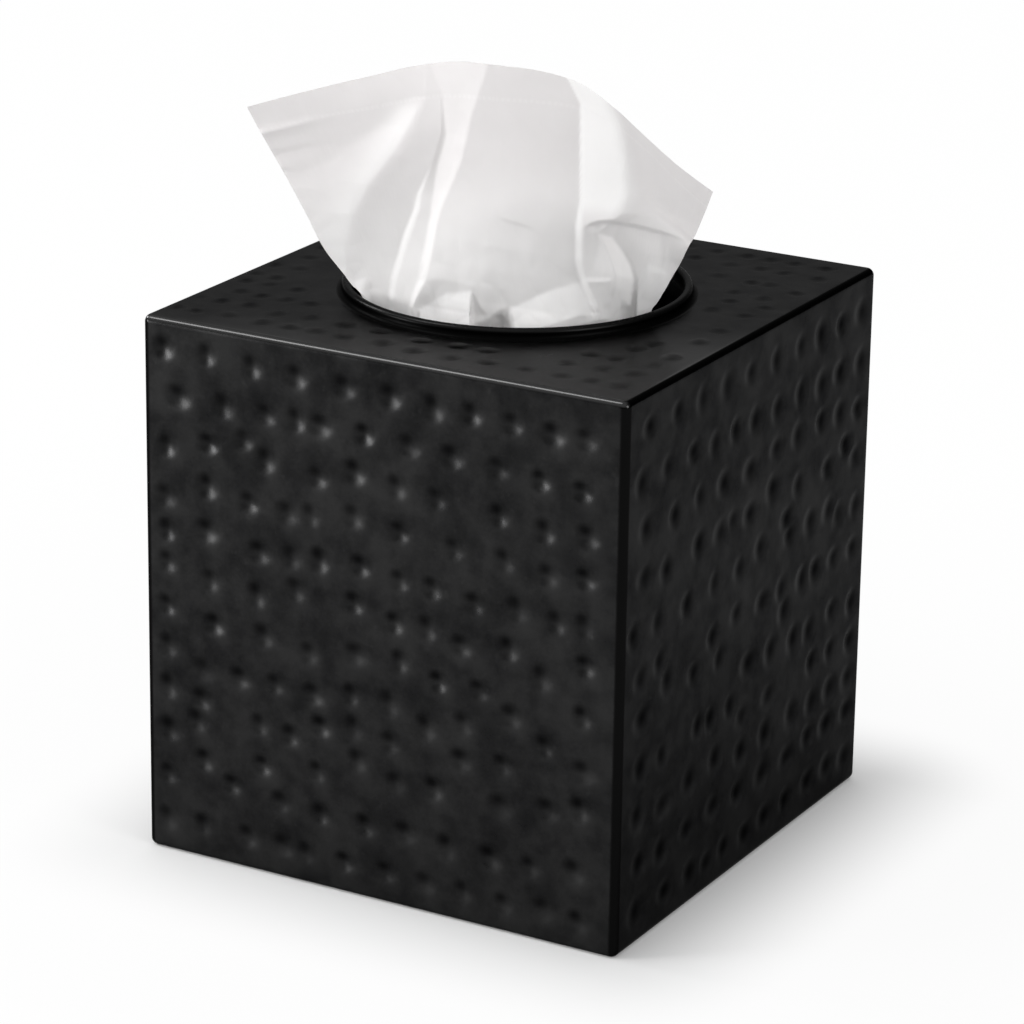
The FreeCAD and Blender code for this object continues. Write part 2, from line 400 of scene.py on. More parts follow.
# %% Helpers for every piece
def only(piece):
    """Selects one piece and makes it the active one."""
    bpy.ops.object.select_all(action="DESELECT")
    piece.select_set(True)
    bpy.context.view_layer.objects.active = piece


def modify(piece, kind, **settings):
    """Adds one modifier, sets it and applies it."""
    only(piece)
    modifier = piece.modifiers.new(kind.lower(), kind)
    for name, value in settings.items():
        setattr(modifier, name, value)
    bpy.ops.object.modifier_apply(modifier=modifier.name)


def smooth(piece, angle=35):
    only(piece)
    bpy.ops.object.shade_smooth_by_angle(angle=math.radians(angle))


def points_of(piece):
    co = np.empty(len(piece.data.vertices) * 3)
    piece.data.vertices.foreach_get("co", co)
    return co.reshape(-1, 3)


def move_points(piece, co):
    piece.data.vertices.foreach_set("co", np.asarray(co, dtype=float).ravel())
    piece.data.update()


def new_grid(name, across, down):
    """A grid primitive, with the column and the row that each of its points is in."""
    bpy.ops.object.select_all(action="DESELECT")
    bpy.ops.mesh.primitive_grid_add(x_subdivisions=across, y_subdivisions=down, size=2)
    piece = bpy.context.object
    piece.name = name
    co = points_of(piece)
    column = np.rint((co[:, 0] + 1) / 2 * across).astype(int)
    row = np.rint((1 - co[:, 1]) / 2 * down).astype(int)
    return piece, column, row


def turn_outward(piece, outward, merge=False):
    """Turns all faces round if the first one looks inward, and merges points that lie on one another if
    asked.
    """
    only(piece)
    inward = piece.data.polygons[0].normal.dot(Vector(outward)) < 0
    bpy.ops.object.mode_set(mode="EDIT")
    bpy.ops.mesh.select_all(action="SELECT")
    if merge:
        bpy.ops.mesh.remove_doubles(threshold=1e-6)
    if inward:
        bpy.ops.mesh.flip_normals()
    bpy.ops.object.mode_set(mode="OBJECT")


def keep(piece, name, values):
    """An attribute of the mesh that a finish can read."""
    made = piece.data.attributes.new(name, "FLOAT", "POINT")
    made.data.foreach_set("value", np.asarray(values, dtype=float))


def weigh(piece, name, weights):
    """A vertex group from an array of weights."""
    group = piece.vertex_groups.new(name=name)
    for i in np.nonzero(weights > 0.002)[0]:
        group.add([int(i)], float(weights[i]), "REPLACE")


def hand_over(piece, body, material, replaced):
    piece.data.materials.clear()
    piece.data.materials.append(material)
    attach(piece, body)
    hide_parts(*replaced)
    print(f"{piece.name}: {len(piece.data.polygons)} faces on {body}")


# %% [markdown]
# ## Bending the sheet
# On the real cover flat blanks are bent over a bar, so every edge is round. Here a flat grid is laid
# on a cube with sharp edges, and one rule bends it: each point is held to the smaller box inside,
# and then pushed out again by the bend radius. Flat parts stay flat, edges become quarter rounds,
# and corners become parts of a ball. The lines of the grid stand closer together in the bends.

# %% The rule that rounds a box, and the grid lines
def rounded(points):
    low = np.array([-(half - bend), -(half - bend), bend])
    high = np.array([half - bend, half - bend, height - bend])
    held = np.clip(points, low, high)
    outward = points - held
    return held + bend * outward / np.linalg.norm(outward, axis=1, keepdims=True)


bend_steps = bend * np.tan(np.radians([8, 16, 24, 32, 39, 43, 45]))
flat_columns = np.linspace(-(half - bend), half - bend, 149)
columns = np.concatenate([-(half - bend) - bend_steps[::-1], flat_columns, half - bend + bend_steps])
quarter_turns = np.array([(1, 0), (0, 1), (-1, 0), (0, -1)])  # the cosine and sine of each
print(f"{len(columns)} grid lines across a wall, {(flat_columns[1] - flat_columns[0]) / MM:.2f} mm apart")

# %% [markdown]
# ## Hammer marks
# A ball hammer leaves a shallow round hollow at each blow. The blows stand in rough rows, never
# quite straight. The lists give the middle of each mark in thousandths of a face's width and
# height, noted on the walls from left to right and from the top row down, and on the top in rows
# round the opening. The hidden walls get rows of the same kind, the noted ones turned round
# and shifted a little.

# %% Where the hammer fell
def shares(marks):
    """Thousandths of a face as shares of it."""
    return [(u / 1000, v / 1000) for u, v in marks]


front_marks = shares([
    (55, 945), (147, 947), (245, 940), (338, 938), (438, 935), (533, 934), (622, 928), (700, 930),
    (782, 926), (862, 921), (928, 922),
    (87, 862), (182, 860), (273, 858), (338, 860), (388, 858), (480, 857), (573, 852), (660, 848),
    (755, 843), (840, 836), (923, 830),
    (60, 768), (150, 785), (228, 805), (272, 777), (383, 763), (460, 787), (548, 775), (632, 767),
    (757, 760), (850, 748), (935, 753),
    (55, 675), (147, 708), (237, 692), (318, 688), (368, 692), (458, 706), (555, 694), (668, 684),
    (770, 682), (858, 671), (932, 678),
    (58, 612), (145, 625), (258, 605), (328, 608), (387, 614), (473, 618), (555, 606), (623, 605),
    (710, 593), (796, 600), (875, 590), (932, 595),
    (58, 552), (152, 533), (252, 526), (335, 550), (460, 548), (545, 527), (613, 532), (684, 512),
    (780, 525), (848, 486), (935, 522),
    (57, 470), (160, 453), (268, 452), (365, 437), (463, 455), (556, 458), (637, 436), (722, 437),
    (787, 403), (932, 430),
    (58, 395), (135, 362), (215, 362), (292, 365), (373, 362), (455, 378), (535, 378), (612, 348),
    (690, 370), (857, 362), (935, 330),
    (57, 318), (130, 305), (258, 282), (325, 275), (390, 305), (460, 318), (537, 305), (686, 302),
    (772, 310), (930, 262),
    (58, 235), (120, 263), (265, 205), (383, 218), (468, 257), (550, 232), (630, 238), (770, 235),
    (865, 247),
    (55, 148), (135, 190), (197, 155), (303, 143), (390, 138), (485, 138), (570, 142), (658, 135),
    (748, 134), (832, 134), (922, 145),
    (52, 62), (132, 65), (230, 63), (308, 62), (358, 58), (442, 58), (530, 58), (614, 56), (695, 57),
    (778, 53), (860, 62), (930, 53),
])
right_marks = shares([
    (95, 935), (200, 935), (295, 932), (390, 932), (485, 930), (590, 927), (690, 928), (775, 928),
    (862, 925), (950, 928),
    (70, 842), (165, 845), (265, 845), (350, 838), (430, 840), (510, 838), (600, 835), (695, 840),
    (785, 832), (865, 835), (955, 833),
    (90, 758), (200, 750), (295, 757), (390, 755), (495, 750), (600, 762), (690, 762), (790, 762),
    (870, 757), (950, 745),
    (85, 670), (172, 660), (295, 670), (380, 668), (428, 675), (500, 668), (590, 690), (700, 665),
    (825, 665), (900, 690), (945, 655),
    (50, 575), (140, 575), (255, 572), (360, 580), (460, 577), (545, 592), (655, 615), (670, 580),
    (755, 583), (835, 580), (878, 562), (955, 557),
    (80, 490), (150, 500), (360, 480), (455, 495), (560, 485), (640, 485), (730, 480), (785, 480),
    (865, 480), (950, 475),
    (90, 415), (185, 455), (290, 435), (390, 430), (655, 440), (510, 385), (605, 380), (700, 372),
    (765, 368), (865, 378), (955, 365),
    (90, 325), (170, 322), (310, 330), (360, 327), (440, 325), (490, 290), (600, 295), (785, 300),
    (865, 300), (955, 290),
    (80, 240), (175, 228), (280, 238), (385, 245), (490, 222), (590, 225), (700, 228), (790, 220),
    (870, 222), (950, 218),
    (90, 150), (175, 143), (275, 150), (380, 155), (480, 147), (580, 150), (685, 147), (780, 157),
    (860, 155), (950, 152),
    (80, 60), (195, 60), (295, 60), (360, 55), (430, 60), (520, 55), (600, 60), (690, 60), (785, 65),
    (870, 68), (950, 60),
])
top_marks = shares([
    (25, 70), (73, 70), (138, 78), (213, 72), (272, 73), (328, 78), (385, 73), (462, 77), (532, 68),
    (612, 68), (680, 78), (757, 77), (830, 75), (890, 75), (947, 75),
    (25, 148), (77, 147), (137, 150), (210, 130), (275, 140), (350, 135), (420, 137), (515, 128),
    (587, 135), (645, 138), (800, 150), (872, 152), (932, 152),
    (75, 217), (122, 213), (175, 215), (228, 215), (810, 220), (860, 222), (935, 218),
    (45, 282), (95, 285), (157, 282), (865, 290), (940, 275),
    (30, 335), (80, 330), (875, 330),
    (30, 400), (85, 405), (940, 385), (940, 465), (935, 575), (865, 575), (945, 640), (870, 645),
    (915, 690), (850, 700), (950, 757), (885, 780), (848, 778), (775, 785), (945, 863), (870, 865),
    (820, 870), (760, 865), (925, 935), (860, 935), (810, 935), (760, 935),
    (60, 480), (50, 550), (105, 560), (45, 625), (110, 640), (55, 705), (125, 720), (190, 775),
    (60, 785), (120, 800), (45, 860), (110, 875), (175, 860), (240, 870), (305, 868), (375, 872),
    (450, 865), (520, 872), (600, 868), (680, 872),
    (60, 940), (130, 935), (200, 940), (270, 930), (345, 938), (415, 935), (490, 940), (560, 932),
    (630, 938), (695, 935),
])
shift = np.random.default_rng(7)


def turned(marks):
    """Noted marks, turned round and shifted a little, for a face that is out of sight."""
    there = np.array([(1 - u, v) for u, v in marks])
    return np.clip(there + shift.uniform(-0.012, 0.012, there.shape), 0.045, 0.955)


back_marks = turned(front_marks)
left_marks = turned(right_marks)
print(f"{len(front_marks)} marks on the front, {len(right_marks)} on the right, {len(top_marks)} on the top")


# %% Weights that tell where and how deep each mark goes
def mark_weights(across, upward, centres, seed, lean, radius, bowl=1.4):
    """How deep each point lies in the nearest marks, from 0 to 1, deepest towards the lean."""
    vary = np.random.default_rng(seed)
    weights = np.zeros(len(across))
    for x, z in centres:
        wide = radius * vary.uniform(0.88, 1.12)
        deep = vary.uniform(0.72, 1.0)
        squash = vary.uniform(0.9, 1.1)
        away_x, away_z = (across - x) * squash, (upward - z) / squash
        inside = np.clip(1 - (away_x ** 2 + away_z ** 2) / wide ** 2, 0, 1)
        away_x = away_x - lean[0] * inside
        away_z = away_z - lean[1] * inside
        hollow = np.clip(1 - (away_x ** 2 + away_z ** 2) / wide ** 2, 0, 1) ** bowl * (inside > 0)
        weights = np.maximum(weights, deep * hollow)
    return weights


def soft_step(value, start, end):
    """0 below the start, 1 above the end and a soft step between them."""
    t = np.clip((value - start) / (end - start), 0, 1)
    return t * t * (3 - 2 * t)


def edge_fade(distance, width=9 * MM):
    """0 at an edge and 1 further in, so that waves never open a seam."""
    return soft_step(distance, 0, width)


mark_depth = 0.88 * MM
wave_depth = 0.32 * MM
slow_waves = bpy.data.textures.new("slow_waves", "CLOUDS")
slow_waves.noise_scale = 0.024
slow_waves.noise_depth = 1


def hammer(piece):
    """Blows first, then the slow waves that hammering leaves, then the sheet's own thickness."""
    modify(piece, "DISPLACE", strength=-mark_depth, mid_level=0, direction="NORMAL", vertex_group="blows")
    modify(
        piece, "DISPLACE", texture=slow_waves, texture_coords="LOCAL", strength=wave_depth, mid_level=0.5,
        direction="NORMAL", vertex_group="waves",
    )
    modify(piece, "SOLIDIFY", thickness=sheet, offset=-1)
    piece.vertex_groups.clear()
    smooth(piece)


# %% [markdown]
# ## The four walls
# A wall is one blank: it is bent back at both sides to the mitred corners, and its lower edge is
# turned in under the cover as a narrow ledge. One grid makes it. The rows run down the wall, round
# the lower bend and in along the ledge, and the columns draw together there so that the mitres meet.
# Beside each blow, painted shade darkens the mark's shadowed side and a painted highlight lightens its lit
# side.

# %% Lay a grid on the front of the cube, then turn it to its place
ledge_end = 62.85 * MM


def wall(side, quarter, marks, radius, lean, painted_shade, painted_shade_radius, painted_highlight, painted_highlight_radius):
    """A hammered wall. The sizes of its marks are in millimetres."""
    wall_rows, ledge_rows = 157, 5
    rows = [(-half, z) for z in np.linspace(height - bend, bend, wall_rows)]
    rows += [(-half, bend - step) for step in bend_steps]
    rows += [(-(half - bend) - step, 0.0) for step in bend_steps[-2::-1]]
    rows += [(y, 0.0) for y in np.linspace(-(half - bend), -ledge_end, ledge_rows)]
    rows = np.array(rows)
    last_row = len(rows) - 1
    piece, column, row = new_grid(f"hammered_{side}", len(columns) - 1, last_row)
    y, z = rows[row].T
    x = columns[column] * np.where(z > 0, 1.0, -y / half)
    bent = rounded(np.stack([x, y, z], 1))

    # The ledge's inner edge gets round corners too.
    inner = bent[row == last_row]
    held = np.clip(inner[:, :2], bend - ledge_end, ledge_end - bend)
    outward = inner[:, :2] - held
    inner[:, :2] = held + bend * outward / np.linalg.norm(outward, axis=1, keepdims=True)
    bent[row == last_row] = inner

    cosine, sine = quarter_turns[quarter]
    bent[:, :2] = bent[:, :2] @ np.array([[cosine, sine], [-sine, cosine]])
    move_points(piece, bent)
    turn_outward(piece, (sine, -cosine, 0))

    # The blows lie a little left of the noted middles.
    on_wall = z > bend
    noted_aside = 0.9 * MM
    centres = np.array([((2 * u - 1) * half - noted_aside, v * height) for u, v in marks])

    def spots(aside, spot_radius, spot_lean=(0, 0), bowl=2):
        """Weights of one spot beside each blow. The seed is the same each time, so they belong together."""
        moved = centres + np.array(aside) * MM
        weights = mark_weights(x, z, moved, 11 + quarter, np.array(spot_lean) * MM, spot_radius * MM, bowl)
        return np.where(on_wall, weights, 0)

    # Where each blow gets its painted shade and its painted highlight.
    keep(piece, "hollow", spots(painted_shade, painted_shade_radius))
    keep(piece, "painted_highlight", spots(painted_highlight, painted_highlight_radius))
    weigh(piece, "blows", spots((0, 0), radius, lean, 1.4))
    inside = np.minimum(half - bend - np.abs(x), np.minimum(z - bend, height - bend - z))
    weigh(piece, "waves", np.where(on_wall, edge_fade(inside), 0))
    hammer(piece)
    hand_over(piece, "cover", hammered_paint, [f"{side}_wall"])


along_the_front = {
    "radius": 3.9, "lean": (-0.4, 0.5),
    "painted_shade": (-1.3, 1.6), "painted_shade_radius": 2.7,
    "painted_highlight": (1.6, -2.4), "painted_highlight_radius": 5.2,
}
along_the_side = {
    "radius": 4.7, "lean": (0.5, 0.0),
    "painted_shade": (0.9, 0.0), "painted_shade_radius": 4.0,
    "painted_highlight": (-3.6, 0.0), "painted_highlight_radius": 3.4,
}
wall("front", 0, front_marks, **along_the_front)
wall("right", 1, right_marks, **along_the_side)
wall("back", 2, back_marks, **along_the_front)
wall("left", 3, left_marks, **along_the_side)

# %% [markdown]
# ## The top
# The top is a square with a round hole. A grid could be cut, but then the hole's edge would be
# ragged. A long strip wrapped round the hole is better: one side of it is the circle, the other is
# the square outline, and its lines run straight out between them. The strip's ends meet and merge.

# %% A strip that is wrapped round the opening
def top_sheet():
    """The hammered top. Its marks are smaller and shallower than those of the walls."""
    flat_rows, mark_radius, mark_share = 53, 3.1 * MM, 0.5
    rounds = (half - bend + bend_steps) / half
    sides = np.append(height - bend + bend_steps[-2::-1], height - bend)
    lines = np.tile(columns[:-1], 4)
    around = len(lines)
    piece, column, row = new_grid("hammered_top", around, flat_rows + len(rounds) + len(sides) - 1)
    column = column % around
    edge = np.stack([lines[column], np.full(len(column), -half)], 1)
    hole = rim_inner / np.linalg.norm(edge, axis=1)
    scale = hole + ((half - bend) / half - hole) * np.clip(row / (flat_rows - 1), 0, 1)
    outer = np.clip(row - flat_rows, 0, len(rounds) - 1)
    scale = np.where(row >= flat_rows, rounds[outer], scale)
    lower = row - flat_rows - len(rounds)
    z = np.where(lower >= 0, sides[np.clip(lower, 0, len(sides) - 1)], height)
    flat = edge * scale[:, None]
    cosine, sine = quarter_turns[column // (len(columns) - 1)].T
    x = flat[:, 0] * cosine - flat[:, 1] * sine
    y = flat[:, 0] * sine + flat[:, 1] * cosine
    move_points(piece, rounded(np.stack([x, y, z], 1)))

    on_top = row < flat_rows
    centres = (2 * np.array(top_marks) - 1) * half
    lean = (-0.4 * MM, 0.6 * MM)
    blows = np.where(on_top, mark_weights(x, y, centres, 15, lean, mark_radius), 0)
    from_edge = half - bend - np.maximum(np.abs(x), np.abs(y))
    from_hole = np.hypot(x, y) - rim_outer - 2.6 * MM
    blows = mark_share * blows * edge_fade(from_hole, 3 * MM) * edge_fade(from_edge, 2 * MM)
    # Painted shade in the top's marks; the top gets no painted highlight.
    keep(piece, "hollow", 1.5 * blows)
    keep(piece, "painted_highlight", np.zeros(len(blows)))
    weigh(piece, "blows", blows)
    weigh(piece, "waves", np.where(on_top, edge_fade(np.minimum(from_edge, from_hole)), 0))
    turn_outward(piece, (0, 0, 1), merge=True)
    hammer(piece)
    hand_over(piece, "cover", hammered_paint, ["top_panel"])


top_sheet()

# %% [markdown]
# ## The rim of the opening
# The sheet's edge round the opening is covered by a bead: a straight flank that grows out of the
# top in a small hollow round, and a half-round crest. It is turned like a vase. Its section is drawn
# once from a plane, two extrusions and two bevels, and the spin operator carries it round. The foot
# ends a hair below the top's surface, because two surfaces in one place would flicker black.

# %% Draw the section, then spin it
def select_points(piece, wanted):
    """Selects, in edit mode, the points that a test accepts."""
    made = bmesh.from_edit_mesh(piece.data)
    for face in made.faces:
        face.select = False
    for edge in made.edges:
        edge.select = False
    for point in made.verts:
        point.select = bool(wanted(point.co))
    made.select_flush_mode()
    bmesh.update_edit_mesh(piece.data)


def opening_bead():
    width, tall = rim_outer - rim_inner, rim_top - height
    sunk = 0.35 * MM
    foot, foot_drop = 2.3 * MM, 0.03 * MM
    near = 1e-6
    bpy.ops.object.select_all(action="DESELECT")
    bpy.ops.mesh.primitive_plane_add(size=1)
    piece = bpy.context.object
    piece.name = "turned_rim"
    bpy.ops.object.mode_set(mode="EDIT")
    bpy.ops.mesh.select_mode(type="VERT")
    bpy.ops.mesh.select_all(action="SELECT")
    bpy.ops.transform.rotate(value=math.radians(90), orient_axis="X", center_override=(0, 0, 0))
    bpy.ops.transform.resize(value=(width, 1, sunk))
    bpy.ops.transform.translate(value=(rim_inner + width / 2, 0, height - sunk / 2))
    select_points(piece, lambda p: p.z > height - near)
    bpy.ops.mesh.extrude_region_move(TRANSFORM_OT_translate={"value": (0, 0, tall)})
    select_points(piece, lambda p: p.x > rim_outer - near and p.z < height + near)
    bpy.ops.mesh.extrude_region_move(TRANSFORM_OT_translate={"value": (foot, 0, -foot_drop)})
    bpy.ops.mesh.select_all(action="SELECT")
    bpy.ops.mesh.dissolve_limited(angle_limit=math.radians(1))
    select_points(piece, lambda p: p.z > rim_top - near)
    bpy.ops.mesh.bevel(offset=width / 2 * 0.995, segments=10, affect="VERTICES")
    select_points(piece, lambda p: abs(p.x - rim_outer) < near and abs(p.z - height) < near)
    bpy.ops.mesh.bevel(offset=1.5 * MM, segments=8, affect="VERTICES")
    bpy.ops.mesh.select_all(action="SELECT")
    bpy.ops.mesh.delete(type="ONLY_FACE")
    bpy.ops.mesh.select_all(action="SELECT")
    bpy.ops.mesh.spin(steps=192, angle=2 * math.pi, center=(0, 0, 0), axis=(0, 0, 1))
    bpy.ops.mesh.select_all(action="SELECT")
    bpy.ops.mesh.remove_doubles(threshold=1e-6)
    bpy.ops.mesh.normals_make_consistent(inside=False)
    bpy.ops.object.mode_set(mode="OBJECT")
    smooth(piece, 50)
    hand_over(piece, "cover", rim_paint, ["opening_rim"])


opening_bead()

# %% [markdown]
# ## Carton board
# The carton is folded from grey board with a smooth white face outside. The carried-over parts have
# the right shape already, so they only get a finish. A point is on the outside where it lies on the
# carton's outer planes, and there the board is white and a little smoother. Elsewhere it is the
# grey, fibrous side. Fine fibres give both sides a faint relief.

# %% The board's two sides
def board():
    made = Finish("carton_board", Specular_IOR_Level=0.35)
    spot = made.places()
    x, y, z = made.split(spot)
    side = abs(x).larger(abs(y)).above(carton_high.x - 0.12 * MM, carton_high.x - 0.05 * MM)
    lid = z.above(carton_high.z - 0.12 * MM, carton_high.z - 0.06 * MM)
    base = 1 - z.above(0.04 * MM, 0.1 * MM)
    outside = side.larger(lid.larger(base))
    fibre = made.noise(made.stretched(spot, (1, 1, 0.3)), 1400.0, 4.0, 0.7)
    cloud = made.noise(spot, 60.0, 3.0)
    grey_side = made.blend(fibre, (0.27, 0.25, 0.215, 1), (0.47, 0.44, 0.39, 1))
    white_side = made.blend(cloud, (0.74, 0.735, 0.71, 1), (0.8, 0.795, 0.775, 1))
    made.set(Base_Color=made.blend(outside, grey_side, white_side))
    made.set(Roughness=0.78 - outside * 0.22 + (fibre - 0.5) * 0.12)
    made.set(Normal=made.bump(fibre, 0.03 * MM))
    return made.material


# %% Clear film that goes cloudy where it is pulled
def clear_film():
    made = Finish("dispensing_film", Specular_IOR_Level=0.5)
    spot = made.places()
    from_slit = abs(made.split(spot)[1])
    pull = 1 - from_slit.above(4 * MM, 16 * MM)
    wrinkle = made.noise(made.stretched(spot, (0.35, 1, 1)), 260.0, 3.0)
    made.set(Base_Color=made.blend(pull, (0.72, 0.76, 0.78, 1), (0.86, 0.88, 0.89, 1)))
    made.set(Roughness=0.16 + wrinkle * 0.18)
    made.set(Alpha=0.3 + pull * 0.16 + (wrinkle - 0.5) * 0.1)
    made.set(Normal=made.bump(wrinkle, 0.25 * MM))
    return made.material


def dress(names, material):
    """A better finish on carried-over parts, whose shape stays as it is."""
    for name in names:
        data = nodes[name].data
        data.materials.clear()
        data.materials.append(material)
    print("finished:", ", ".join(names))


dress(["carton_walls", "carton_top", "carton_base", "carton_top_flaps", "carton_base_flaps"], board())
dress(["dispensing_film"], clear_film())

# %% [markdown]
# ## Tissue paper
# Facial tissue is two thin white plies. Light passes through it, it has a fine crepe across its
# width, and near the hem a row of fine dots presses the plies together, a faint light line. The
# crepe and the dots follow the sheet, so this finish reads the sheet's own map, whose numbers are
# metres along the paper. A share of the light goes through the sheet, and the rest comes back.
# Toward its open hem the paper is painted a little grey, a painted shade. Where it is gathered, where
# it lies double in a fold and along the brightest folds, it is painted whiter: partly for the double
# paper and partly as painted light.

# %% The paper's finish
def tissue_paper(name, see_through):
    paper = Finish(name, Roughness=0.9, Specular_IOR_Level=0.15)
    along = paper.node("UVMap", {"uv_map": "UVMap"})
    crepe = paper.noise(paper.stretched(along, (1, 0.12, 1)), 2600.0, 3.0)
    pulled = paper.noise(paper.stretched(along, (1, 0.09, 1)), 170.0, 3.0)
    cloud = paper.noise(paper.places(), 90.0, 3.0)
    u, v, _ = paper.split(along)
    dot_line, dot_step = 6.6 * MM, 1.1 * MM
    dots = paper.node("Math", {"operation": "SINE"}, {0: u * (2 * math.pi / dot_step)}).above(-0.5, 0.6)
    pressed = (1 - abs(v - dot_line).above(0.1 * MM, 0.7 * MM)) * (0.4 + dots * 0.6)
    # Painted shade: the paper is painted greyer toward its open hem.
    painted_grey_toward_hem = paper.blend(cloud, (0.735, 0.71, 0.71, 1), (0.80, 0.775, 0.775, 1))
    colour = paper.blend(v.above(12 * MM, 50 * MM), painted_grey_toward_hem, (0.95, 0.935, 0.93, 1))
    # Painted light: the paper is painted whiter where it lies double and along the brightest folds.
    colour = paper.blend(paper.attribute("doubled_and_painted_light"), colour, (0.97, 0.96, 0.955, 1))
    paper.set(Base_Color=paper.blend(pressed * 0.2, colour, (0.92, 0.90, 0.90, 1)))
    fine = paper.bump(crepe - pressed * 1.2, 0.03 * MM)
    paper.set(Normal=paper.bump(pulled, 0.45 * MM, 0.5, fine))
    lit_through = paper.node("BsdfTranslucent", None, {"Color": (0.95, 0.945, 0.94, 1)})
    paper.share_with(lit_through, see_through)
    return paper.material


raised_paper = tissue_paper("raised_tissue_paper", 0.2)
folded_paper = tissue_paper("folded_tissue_paper", 0.12)

# %% [markdown]
# ## The raised tissue
# The sheet leaves the slit gathered tight, leans on the rim and opens into a fan. A cloth simulation
# would let it flop, but crisp paper stands, so it is modelled instead. A coarse cage gives the fan's
# sweep: its rows climb down from the hem to the rim. A smooth curve through the cage's points then
# gives as many points as the folds need.

# %% The cage above the rim: rows from the hem down, places in millimetres
fan_cage = [
    [
        (-61.6, -33.0, 193.3), (-51.9, -28.7, 196.6), (-40.9, -26.4, 200.3), (-28.8, -25.9, 204.3),
        (-16.0, -26.9, 208.6), (-2.6, -28.6, 211.9), (10.2, -29.7, 212.8), (21.9, -29.3, 212.8),
        (32.2, -27.1, 210.5), (40.2, -23.8, 204.6), (46.9, -19.5, 197.2), (53.4, -14.5, 189.8),
        (59.9, -8.2, 182.8),
    ],
    [
        (-58.8, -32.3, 188.2), (-49.2, -28.4, 191.2), (-38.4, -26.4, 194.5), (-26.5, -26.4, 198.0),
        (-14.0, -27.5, 202.2), (-1.2, -29.3, 204.9), (11.1, -30.3, 205.6), (22.3, -29.7, 206.3),
        (32.4, -27.5, 205.4), (40.6, -23.7, 201.0), (47.2, -19.4, 194.4), (53.1, -14.6, 186.8),
        (58.9, -8.7, 179.4),
    ],
    [
        (-55.2, -31.8, 182.6), (-46.2, -27.9, 185.0), (-36.1, -25.9, 187.5), (-24.7, -25.8, 190.3),
        (-12.6, -27.3, 193.6), (-0.2, -29.4, 196.1), (11.5, -30.6, 197.2), (22.3, -30.2, 198.0),
        (31.9, -28.1, 197.9), (40.1, -24.3, 195.2), (46.7, -19.7, 189.7), (52.1, -15.0, 182.6),
        (57.5, -9.0, 175.6),
    ],
    [
        (-50.1, -32.2, 176.0), (-41.9, -28.1, 177.5), (-32.7, -25.8, 179.3), (-22.2, -25.5, 181.4),
        (-10.8, -27.1, 183.8), (1.0, -29.5, 186.0), (12.2, -31.1, 187.6), (22.4, -31.1, 188.6),
        (31.5, -29.3, 189.1), (39.4, -25.6, 187.9), (46.0, -20.7, 184.1), (51.1, -15.7, 177.8),
        (56.0, -9.8, 171.2),
    ],
    [
        (-44.8, -31.9, 167.7), (-37.3, -28.3, 168.4), (-28.8, -26.2, 169.7), (-19.3, -26.0, 171.9),
        (-8.8, -27.5, 173.7), (2.0, -29.8, 175.2), (12.3, -31.4, 176.7), (21.9, -31.8, 177.8),
        (30.5, -30.6, 178.2), (38.0, -27.7, 177.3), (44.8, -23.3, 176.3), (50.8, -17.7, 174.3),
        (55.4, -12.2, 168.6),
    ],
    [
        (-39.0, -31.1, 157.8), (-31.8, -28.7, 158.5), (-23.8, -27.5, 159.1), (-15.1, -27.7, 160.0),
        (-5.9, -28.8, 161.1), (3.4, -30.1, 162.3), (12.1, -30.7, 163.5), (20.2, -30.2, 164.2),
        (27.7, -28.6, 164.7), (34.3, -25.6, 164.7), (40.3, -21.4, 163.6), (45.7, -16.3, 162.1),
        (49.6, -6.8, 160.3),
    ],
    [
        (-29.9, -31.2, 148.8), (-26.0, -31.2, 147.4), (-19.1, -31.2, 146.2), (-10.9, -31.6, 146.0),
        (-2.9, -32.2, 145.9), (5.0, -32.6, 146.1), (12.6, -32.2, 146.5), (19.5, -31.2, 146.9),
        (26.1, -29.0, 147.5), (31.6, -25.5, 148.0), (36.3, -20.0, 148.4), (39.4, -12.0, 148.3),
        (41.6, -2.5, 148.0),
    ],
]
print(f"{len(fan_cage)} rows of {len(fan_cage[0])} points")

# %% [markdown]
# Folds are easier to see than to model: each is a line down the paper, a crest or a foot between
# slopes. So every line is written as places on an upright plane that cuts the sheet, as the camera
# sees them, with how far the paper stands out there. Between two lines the paper slopes evenly,
# which is what makes one side of a fold bright and the other grey. Below some drawn edges the paper
# is set back or turned out, or sinks into a gap. Between some fold lines it lies double, and these
# bands and the turned out parts are painted whiter: partly for the double paper, partly as painted light.

